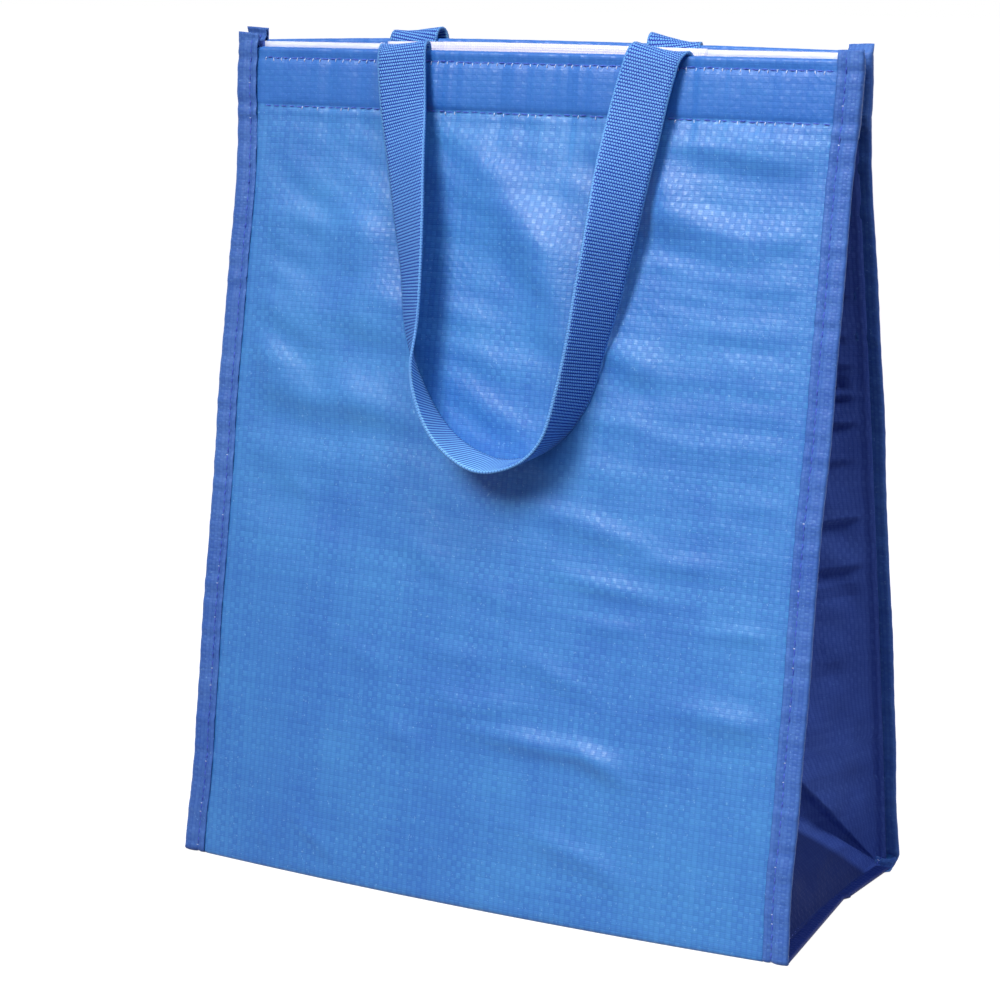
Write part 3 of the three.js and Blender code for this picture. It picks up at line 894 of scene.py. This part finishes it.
def capsules(name, starts, ends, normals, radius):
    """Stitches: short threads that dip into the cloth at both ends, as one mesh."""
    middle = (starts + ends) / 2
    half = (ends - starts) / 2
    along = unit(half)
    side = unit(np.cross(along, normals))
    up = np.cross(side, along)
    turn = np.linspace(0, 2 * math.pi, STITCH_SIDES, endpoint=False)[None, None, :, None]
    circle = side[:, None, None] * np.cos(turn) + up[:, None, None] * np.sin(turn)
    rise = up[:, None] * (radius * STITCH_HEIGHT)[None, :, None]
    centre = middle[:, None] + half[:, None] * STITCH_RINGS[None, :, None] + rise
    points = centre[:, :, None] + circle * (radius * STITCH_GIRTH)[None, :, None, None]
    count = len(STITCH_RINGS) * STITCH_SIDES
    r, s = np.meshgrid(np.arange(len(STITCH_RINGS) - 1), np.arange(STITCH_SIDES), indexing="ij")
    a = (r * STITCH_SIDES + s).ravel()
    b = (r * STITCH_SIDES + (s + 1) % STITCH_SIDES).ravel()
    one = [list(q) for q in np.stack([a, b, b + STITCH_SIDES, a + STITCH_SIDES], -1)]
    one += [list(range(STITCH_SIDES))[::-1], list(range(count - STITCH_SIDES, count))]
    faces = [[v + count * k for v in q] for k in range(len(starts)) for q in one]
    return make_mesh(name, points.reshape(-1, 3), faces)


def on_wall(wall, x, z):
    """Points where stitches lie, just off a wall's creased face."""
    ny, nz = wall.outward(z)
    stand = relief(wall, x, z) + STITCH_OFF
    lifted = z + nz * stand + rim_lift(wall, x, z)
    return np.stack([x, wall.side * wall.depth(z) + ny * stand, lifted], -1)


def hem_stitches(wall, name):
    """Two rows of thread along a hem, and pale ticks at its needle holes, painted glints of the
    film there.
    """
    rng = np.random.default_rng(61 + wall.side)
    threads, ticks = [], []
    for below, share in ((ROW_UPPER, TICKS_UPPER), (ROW_LOWER, TICKS_LOWER)):
        x = np.arange(-SEAM_X + 3, SEAM_X - 3, HEM_PITCH)
        x = x + rng.uniform(-0.4, 0.4, len(x))
        z = wall.top - below + rng.uniform(-0.25, 0.25, len(x))
        end_x = x + HEM_PITCH - STITCH_SPACE
        end_z = z + rng.uniform(-0.3, 0.3, len(x))
        threads.append((on_wall(wall, x, z), on_wall(wall, end_x, end_z)))
        kept = rng.uniform(0, 1, len(x)) < share
        x, z = x[kept] - 0.4, z[kept]
        lean = rng.uniform(-0.5, 0.5, len(x))
        ticks.append((on_wall(wall, x, z + 0.2), on_wall(wall, x + lean, z - TICK)))
    pieces = []
    for label, parts, radius in (("thread", threads, HEM_THREAD), ("ticks", ticks, HEM_TICK)):
        starts, ends = (np.concatenate([part[k] for part in parts]) for k in (0, 1))
        normals = np.tile([0, float(wall.side), 0], (len(starts), 1))
        pieces.append(capsules(f"{label}_hem_{name}", starts, ends, normals, radius))
    return pieces


def binding_stitches(name, grid, v, column, normal_sign):
    """A row of thread along one leaf of a binding, and a pale tick, a painted glint, at some of its
    needle holes.
    """
    at = np.arange(4, v[-1] - 6, BINDING_PITCH)
    line = grid[:, column]

    def pick(table, where):
        return np.stack([np.interp(where, v, table[:, k]) for k in range(3)], -1)

    normals = unit(pick(normals_of(grid)[:, column] * normal_sign, at + 1.2))
    side = unit(np.cross(pick(line, at + 1) - pick(line, at), normals))
    start = pick(line, at) + normals * STITCH_OFF
    end = pick(line, at + BINDING_PITCH - STITCH_SPACE) + normals * STITCH_OFF
    thread = capsules(f"thread_{name}", start, end, normals, BINDING_THREAD)
    kept = np.random.default_rng(71).uniform(0, 1, len(at)) < TICKS_BINDING
    start, side, normals = start[kept], side[kept], normals[kept]
    tip = start + side * TICK * 0.7
    ticks = capsules(f"ticks_{name}", start - side * 0.3, tip, normals, BINDING_TICK)
    return thread, ticks


def linear(r, g, b):
    """An sRGB colour of 0 to 255 as the shader's linear colour."""
    part = [v / 255 for v in (r, g, b)]
    return tuple(v / 12.92 if v <= 0.04045 else ((v + 0.055) / 1.055) ** 2.4 for v in part) + (1,)


class Nodes:
    """Short ways to add shader nodes to a material or a world."""

    def __init__(self, owner):
        self.owner = owner
        owner.use_nodes = True
        self.tree = owner.node_tree
        self.tree.nodes.clear()
        self.place = self.node("ShaderNodeTexCoord").outputs["Object"]

    def put(self, socket, value):
        if isinstance(value, bpy.types.NodeSocket):
            self.tree.links.new(value, socket)
        else:
            socket.default_value = value

    def node(self, kind, inputs=None, **settings):
        made = self.tree.nodes.new(kind)
        for key, value in settings.items():
            setattr(made, key, value)
        for key, value in (inputs or {}).items():
            self.put(made.inputs[key], value)
        return made

    def math(self, operation, a, b=0, c=0, clamp=False):
        made = self.node("ShaderNodeMath", {0: a, 1: b, 2: c}, operation=operation, use_clamp=clamp)
        return made.outputs[0]

    def plus(self, a, b, clamp=False):
        return self.math("ADD", a, b, clamp=clamp)

    def minus(self, a, b, clamp=False):
        return self.math("SUBTRACT", a, b, clamp=clamp)

    def times(self, a, b, clamp=False):
        return self.math("MULTIPLY", a, b, clamp=clamp)

    def scaled(self, value, factor, offset, clamp=False):
        return self.math("MULTIPLY_ADD", value, factor, offset, clamp)

    def blend(self, factor, a, b):
        """A colour between two others, which are sockets or sRGB colours."""
        a, b = (linear(*c) if isinstance(c, tuple) and len(c) == 3 else c for c in (a, b))
        return self.node("ShaderNodeMix", {0: factor, 6: a, 7: b}, data_type="RGBA").outputs[2]

    def lerp(self, factor, a, b):
        """A number between two others."""
        return self.node("ShaderNodeMix", {0: factor, 2: a, 3: b}, data_type="FLOAT").outputs[0]

    def noise(self, scale, detail=2, rough=0.5):
        inputs = {"Vector": self.place, "Scale": scale, "Detail": detail, "Roughness": rough}
        return self.node("ShaderNodeTexNoise", inputs).outputs["Fac"]

    def chance(self, number):
        """A random value for each whole number."""
        made = self.node("ShaderNodeTexWhiteNoise", {"W": number}, noise_dimensions="1D")
        return made.outputs["Value"]

    def cloth(self):
        """The flat cloth's two coordinates in millimetres."""
        uv = self.node("ShaderNodeUVMap", uv_map=CLOTH_UV).outputs["UV"]
        split = self.node("ShaderNodeSeparateXYZ", {"Vector": uv})
        return [self.times(split.outputs[axis], 1 / MM) for axis in "XY"]

    def across(self, value):
        """Distance from the middle of each unit step, 0 at the middle and 1 at its ends."""
        return self.math("ABSOLUTE", self.scaled(self.math("FRACT", value), 2, -1))

    def crown(self, value):
        """A flat-topped swelling over each unit step."""
        return self.minus(1, self.math("POWER", self.across(value), 2.5))

    def bump(self, height, strength=1, distance=MM):
        inputs = {"Strength": strength, "Distance": distance, "Height": height}
        return self.node("ShaderNodeBump", inputs).outputs[0]

    def shown(self):
        """1 for what the camera sees, also in gloss or through glass, and 0 for other light."""
        rays = self.node("ShaderNodeLightPath").outputs
        seen = self.math("MAXIMUM", rays["Is Camera Ray"], rays["Is Glossy Ray"])
        return self.math("MAXIMUM", seen, rays["Is Transmission Ray"])

    def output(self, shader, kind="Material"):
        self.node(f"ShaderNodeOutput{kind}", {"Surface": shader.outputs[0]})
        return self.owner

    def finish(self, **inputs):
        named = {key.replace("_", " "): value for key, value in inputs.items()}
        return self.output(self.node("ShaderNodeBsdfPrincipled", named))


def material_nodes(name):
    return Nodes(bpy.data.materials.new(name))


# The weave: how far its tapes wander in millimetres, and what lightens the cloth and by how much
WANDER = 0.9
TAPE_SHADE = 0.28
DOT_SHADE = 0.15
FIBRE_SHADE = 0.2
PATCH_SHADE, PATCH_START = 1.4, -0.42
# Pale flecks: painted glints of the film, and how much they lighten the cloth
GLINT_SHADE = 0.3
SUNK_TAPE = 0.35  # height of a tape that runs under another
SPLIT_HALF = 0.16  # the fine dark split along a tape
DOT_GLOSS = -0.14


def woven(name, colours, pitch, rough, dome, film, specular, streak=0.2, deep_and_shade=None):
    """Flat plastic tapes in plain weave under a clear film; colours go from dark to light to the
    pale flecks, painted glints.

    The last argument gives the fourth colour's share, for cloth that lies double and for painted
    shade.
    """
    n = material_nodes(name)
    flat_u, flat_v = n.cloth()
    wander = n.scaled(n.noise(28, 1), WANDER, -WANDER / 2)
    u = n.math("DIVIDE", n.plus(flat_u, wander), pitch[0])
    v = n.math("DIVIDE", n.minus(flat_v, wander), pitch[1])
    cell_u, cell_v = n.math("FLOOR", u), n.math("FLOOR", v)
    over = n.math("FLOORED_MODULO", n.plus(cell_u, cell_v), 2)
    crown_u, crown_v = n.crown(u), n.crown(v)
    raised = n.times(crown_u, crown_v)
    height = n.lerp(over, n.times(crown_v, SUNK_TAPE), raised)
    split = n.scaled(n.math("GREATER_THAN", n.across(v), SPLIT_HALF), 0.6, 0.4)
    dot = n.times(n.times(over, raised), split)
    fibre = n.times(n.math("SINE", n.times(v, 6 * math.pi)), 0.5)
    tape = n.lerp(over, n.chance(cell_u), n.chance(n.plus(cell_v, 91)))
    shade = n.scaled(tape, TAPE_SHADE, n.times(dot, DOT_SHADE))
    shade = n.plus(shade, n.times(n.minus(crown_u, 0.7), streak))
    shade = n.plus(shade, n.times(fibre, FIBRE_SHADE))
    shade = n.plus(shade, n.scaled(n.noise(11, 5, 0.65), PATCH_SHADE, PATCH_START), clamp=True)
    colour = n.blend(shade, colours[0], colours[1])
    # Pale flecks: painted glints of the film
    painted_glint = n.times(n.math("GREATER_THAN", n.noise(700), 0.7), GLINT_SHADE)
    colour = n.blend(painted_glint, colour, colours[2])
    if deep_and_shade:
        colour = n.blend(deep_and_shade(n, flat_u, flat_v), colour, colours[3])
    taut = n.scaled(n.noise(17), 1.6, -0.3, clamp=True)
    weave = n.times(n.scaled(fibre, 0.12, height), n.scaled(taut, 0.7, 0.3))
    crinkle = n.times(n.noise(75, 4, 0.6), film)
    gloss = n.scaled(dot, DOT_GLOSS, n.scaled(n.noise(30, 4), 0.2, rough))
    normal = n.bump(n.scaled(weave, dome, crinkle))
    return n.finish(Base_Color=colour, Roughness=gloss, Normal=normal, Specular_IOR_Level=specular)


def webbing_material(name, spots, dark, light):
    """Ribbed webbing with a beaded edge; spots is how far its ribs break up into staggered dots."""
    n = material_nodes(name)
    u, v = n.cloth()
    row = n.math("DIVIDE", v, RIB_PITCH)
    odd = n.math("FLOORED_MODULO", n.math("FLOOR", row), 2)
    end = n.scaled(odd, 0.5, n.math("DIVIDE", u, DOT_PITCH))
    from_row = n.math("POWER", n.across(row), 2)
    from_dot = n.math("POWER", n.across(end), 2)
    dot = n.minus(1, n.scaled(from_dot, spots, from_row), clamp=True)
    edge = n.times(n.minus(n.math("ABSOLUTE", u), WEBBING_WIDTH / 2 - 1), 3, clamp=True)
    bead = n.minus(1, n.times(n.across(n.times(row, 2)), 0.7), clamp=True)
    height = n.lerp(edge, dot, bead)
    stray = n.scaled(n.noise(900), 0.5, -0.25)
    # Lighter on the dots, ribs and bead and darker between them: painted highlight and painted
    # shade of the weave's relief
    colour = n.blend(n.plus(n.scaled(height, 1.9, -0.35), stray, clamp=True), dark, light)
    colour = n.blend(n.times(n.noise(40, 3), 0.2), colour, (36, 86, 184))
    normal = n.bump(n.scaled(height, 0.14, n.times(n.noise(2600), 0.03)))
    rough = n.scaled(n.noise(300), 0.15, 0.42)
    return n.finish(Base_Color=colour, Roughness=rough, Normal=normal, Specular_IOR_Level=0.2)


def thread_and_glint_material(name, dark, light):
    n = material_nodes(name)
    inputs = {"Vector": n.place, "Scale": 900, "Distortion": 1}
    twist = n.node("ShaderNodeTexWave", inputs).outputs["Fac"]
    colour = n.blend(twist, dark, light)
    normal = n.bump(twist, 0.6, 0.2 * MM)
    return n.finish(Base_Color=colour, Roughness=0.55, Normal=normal, Sheen_Weight=0.2)


def film_material():
    """Pale crinkled film over foam."""
    n = material_nodes("lining_film")
    crinkle = n.noise(70, 5, 0.65)
    inputs = {"Vector": n.place, "Scale": 160}
    cells = n.node("ShaderNodeTexVoronoi", inputs, feature="DISTANCE_TO_EDGE")
    colour = n.blend(crinkle, (196, 198, 216), (236, 236, 246))
    normal = n.bump(n.plus(n.times(crinkle, 1.2), n.times(cells.outputs[0], 0.3)), 0.8)
    return n.finish(Base_Color=colour, Roughness=n.scaled(crinkle, 0.2, 0.3), Normal=normal)


def pile_material():
    """White pile of a fastening strip: fine loops in rows."""
    n = material_nodes("fastening_pile")
    u, v = (n.across(n.math("DIVIDE", along, 1.3)) for along in n.cloth())
    loops = n.times(u, v)
    fuzz = n.noise(1500, 3)
    shade = n.plus(n.times(loops, 0.5), n.times(fuzz, 0.4))
    colour = n.blend(shade, (238, 234, 250), (206, 204, 230))
    normal = n.bump(n.plus(n.times(loops, -0.3), n.times(fuzz, 0.25)), 0.8)
    rough = n.scaled(fuzz, 0.1, 0.8)
    return n.finish(Base_Color=colour, Roughness=rough, Normal=normal, Sheen_Weight=0.4)


# A strip's end lies double down to its stitches; a gusset's foot and tape under the base get
# painted shade
HEM_CLOTH = TURN_IN + math.pi * ROLL + ROW_LOWER - 2 * ROLL
FOOT_SHADE_REACH = 54
TAPE_UPRIGHT = 474

panel, panel_length = build_panel()


def hem_doubled(n, u, v):
    """Where the strip's ends are turned in behind it."""
    from_end = n.math("MINIMUM", v, n.minus(panel_length, v))
    return n.times(n.minus(HEM_CLOTH, from_end, clamp=True), 0.6)


def foot_painted_shade(n, u, v):
    """The triangle at a gusset's foot, where it is folded over itself; its darker colour is painted
    shade.
    """
    slant = n.scaled(n.math("ABSOLUTE", u), 0.8, v)
    return n.times(n.times(n.minus(FOOT_SHADE_REACH, slant), 0.2, clamp=True), 0.75)


def tape_painted_shade(n, u, v):
    """The end of a binding that runs under the base; its darker colour is painted shade."""
    return n.times(n.times(n.minus(v, TAPE_UPRIGHT), 0.15, clamp=True), 0.85)


FABRIC_LOOK = woven(
    "laminated_weave", [(41, 98, 174), (69, 139, 197), (150, 200, 230), (33, 96, 178)],
    (3.1, 3.2), rough=0.43, dome=0.14, film=0.8, specular=0.5, deep_and_shade=hem_doubled,
)
# The gussets are the walls' cloth: this darker, duller copy of it is painted shade, and so is its
# fourth colour
GUSSET_SHADED_LOOK = woven(
    "gusset_weave_painted_shade", [(60, 82, 156), (86, 112, 186), (110, 150, 214), (26, 34, 80)],
    (2.4, 3.2), rough=0.46, dome=0.1, film=0.8, specular=0.03, streak=0.3, deep_and_shade=foot_painted_shade,
)
# The binding's fourth colour is painted shade on the tape under the base
TAPE_LOOK = woven(
    "binding_weave", [(46, 82, 158), (84, 124, 184), (140, 180, 226), (24, 34, 104)],
    (2.4, 1.6), rough=0.42, dome=0.12, film=1.2, specular=0.2, deep_and_shade=tape_painted_shade,
)
WEBBING_LOOK = webbing_material("webbing", 0.85, (6, 26, 136), (114, 174, 226))
# The same webbing for the handles' inner faces, made much lighter: painted light on the inside of
# the loop
WEBBING_LIT_BACK_LOOK = webbing_material("webbing_back_painted_light", 0.1, (24, 64, 170), (150, 214, 238))
THREAD_LOOK = thread_and_glint_material("blue_thread", (40, 64, 172), (70, 104, 206))
# Pale ticks at the needle holes: painted glints of the puckered film
GLINT_TICK_LOOK = thread_and_glint_material("pale_glint_ticks", (176, 190, 226), (226, 228, 240))
FILM_LOOK = film_material()
PILE_LOOK = pile_material()


def dress(piece, look, slot, *nodes):
    piece.data.materials.append(look)
    if nodes:
        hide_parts(*nodes)
    return piece


def dress_stitches(thread, ticks):
    return [dress(thread, THREAD_LOOK, "binding_tape"), dress(ticks, GLINT_TICK_LOOK, "binding_tape")]


dress(panel, FABRIC_LOOK, "woven_fabric", "outer_panel")
lining = dress(build_lining("wall_lining"), FILM_LOOK, "foam_liner", "liner_panel")

for side_name, side_x in SIDES.items():
    gusset, gusset_grid, gusset_flat = build_gusset(f"side_gusset_{side_name}", side_x)
    dress(gusset, GUSSET_SHADED_LOOK, "woven_fabric", f"gusset_{side_name}")
    side_lining = build_side_lining(f"gusset_lining_{side_name}", gusset_grid, gusset_flat, side_x)
    dress(side_lining, FILM_LOOK, "foam_liner", f"liner_gusset_{side_name}")
    for wall_name, wall in WALLS.items():
        label = f"{wall_name}_{side_name}"
        tape, tape_grid, tape_v = build_binding(f"edge_tape_{label}", wall, side_x, *TABS[label])
        dress(tape, TAPE_LOOK, "binding_tape", f"binding_{label}")
        sign = -1 if side_x * wall.side > 0 else 1
        sewn = []
        for leaf, column in (("out", OUTER_SEAM), ("in", INNER_SEAM)):
            seam = binding_stitches(f"{label}_{leaf}", tape_grid, tape_v, column, sign)
            sewn += dress_stitches(*seam)

hem_sewn = []
for wall_name, wall in WALLS.items():
    handle = build_handle(f"carry_handle_{wall_name}", wall)
    dress(handle, WEBBING_LOOK, "webbing", f"handle_{wall_name}")
    # The handle's inner faces take the lighter copy of the webbing: painted light
    handle.data.materials.append(WEBBING_LIT_BACK_LOOK)
    for face in handle.data.polygons:
        if min(face.vertices) >= len(handle.data.vertices) // 2:
            face.material_index = 1
    strip = build_strip(f"closing_strip_{wall_name}", wall)
    dress(strip, PILE_LOOK, "fastening_tape", f"fastening_strip_{wall_name}")
    hem_sewn += dress_stitches(*hem_stitches(wall, wall_name))

# The stage, in metres
FLOOR_HALF = 12
FLOOR_GREY = (0.28, 0.28, 0.29, 1)
FLOOR_GLOW = (0.96, 0.945, 0.925, 1)
WHITE = (1, 1, 1, 1)
FILL_LOW, FILL_HIGH = 0.08, 0.66
FILL_TINT = (0.45, 0.56, 1, 1)
BAG_MIDDLE = Vector((0, -0.05, 0.22))


def stage_floor():
    """A pale floor that takes the bag's shadow, and shows white to the camera."""
    mesh = bpy.data.meshes.new("floor")
    corners = [(FLOOR_HALF * x, FLOOR_HALF * y, 0) for x, y in ((-1, -1), (1, -1), (1, 1), (-1, 1))]
    mesh.from_pydata(corners, [], [(0, 1, 2, 3)])
    floor = add_object("floor", mesh)
    n = material_nodes("floor_white")
    matt = n.node("ShaderNodeBsdfDiffuse", {"Color": FLOOR_GREY})
    glow = n.node("ShaderNodeEmission", {"Color": FLOOR_GLOW, "Strength": n.shown()})
    both = n.node("ShaderNodeAddShader", {0: matt.outputs[0], 1: glow.outputs[0]})
    mesh.materials.append(n.output(both))


def light_world():
    """White where the camera sees it, and a bluish fill, mostly from above, on the bag."""
    world = bpy.data.worlds.new("studio")
    bpy.context.scene.world = world
    n = Nodes(world)
    shown = n.shown()
    towards = n.node("ShaderNodeTexCoord").outputs["Generated"]
    height = n.node("ShaderNodeSeparateXYZ", {0: towards}).outputs["Z"]
    fill = n.node("ShaderNodeMapRange", {"Value": height, "To Min": FILL_LOW, "To Max": FILL_HIGH})
    strength = n.lerp(shown, fill.outputs["Result"], 1)
    tint = n.blend(shown, FILL_TINT, WHITE)
    n.output(n.node("ShaderNodeBackground", {"Color": tint, "Strength": strength}), "World")


def soft_light(name, direction, distance, size, watts, beam, aim, colour=(1, 1, 1)):
    """A round soft lamp that stands in a direction from the bag and points at aim."""
    data = bpy.data.lights.new(name, "AREA")
    data.color = colour
    data.shape = "DISK"
    data.size = size
    data.energy = watts
    data.spread = math.radians(beam)
    lamp = add_object(name, data)
    lamp.location = BAG_MIDDLE + Vector(direction).normalized() * distance
    lamp.rotation_mode = "QUATERNION"
    lamp.rotation_quaternion = (lamp.location - Vector(aim)).to_track_quat("Z", "Y")


stage_floor()
light_world()
soft_light(
    "key", direction=(-0.11, -0.72, 0.69), distance=2.3, size=1, watts=9.6,
    beam=70, aim=(0.4, -0.05, 0.22),
)
soft_light(
    "top", direction=(0.42, -0.25, 0.87), distance=2, size=0.8, watts=1.7,
    beam=60, aim=(0.12, 0, 0.2), colour=(0.9, 0.95, 1),
)

# The photograph's camera: place in metres, turns, and focal length as a share of the image width
CAMERA_AT = (0.6933, -1.2966, 0.5372)
YAW = math.radians(29)
PITCH = math.radians(12.4)
TILT = 0.006
FOCAL = 2.667
SENSOR = 36


def place_camera():
    data = bpy.data.cameras.new("camera")
    data.sensor_width = SENSOR
    data.lens = SENSOR * FOCAL
    camera = add_object("camera", data)
    bpy.context.scene.camera = camera
    right = Vector((math.cos(YAW), math.sin(YAW), 0))
    level = math.cos(PITCH)
    ahead = Vector((-math.sin(YAW) * level, math.cos(YAW) * level, -math.sin(PITCH)))
    down = ahead.cross(right)
    image_right = right * math.cos(TILT) + down * math.sin(TILT)
    image_down = down * math.cos(TILT) - right * math.sin(TILT)
    facing = Matrix((image_right, -image_down, -ahead)).transposed().to_4x4()
    camera.matrix_world = Matrix.Translation(CAMERA_AT) @ facing


place_camera()
bpy.context.scene.view_settings.view_transform = "Standard"

bpy.context.view_layer.update()
